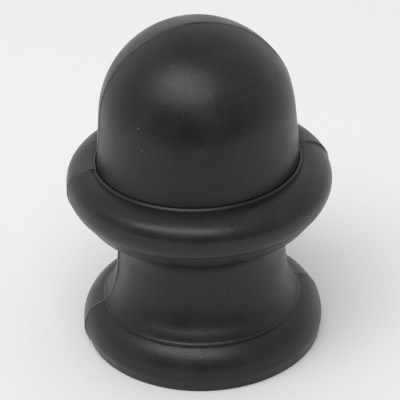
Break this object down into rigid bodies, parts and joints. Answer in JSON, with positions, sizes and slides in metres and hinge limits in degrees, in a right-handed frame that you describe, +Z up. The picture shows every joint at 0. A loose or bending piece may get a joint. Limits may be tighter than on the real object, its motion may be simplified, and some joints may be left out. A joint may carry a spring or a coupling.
{
  "type": "lamp finial",
  "caption": "Domed lamp finial with a rounded ring, a hollowed waist and a beaded foot. A blind screw hole in its flat underside takes a lamp stud.",
  "frame": {"origin": "centre of the flat underside, at the mouth of the screw hole", "axes": "+Z up along the axis of the screw hole, through the top of the dome; -Y towards the side that the picture shows"},
  "size_m": [0.0242, 0.0242, 0.0318],
  "materials": {
    "black_paint": "satin black paint on a zinc die casting"
  },
  "bodies": {
    "root": {"finial": "black_paint"}
  },
  "joints": []
}
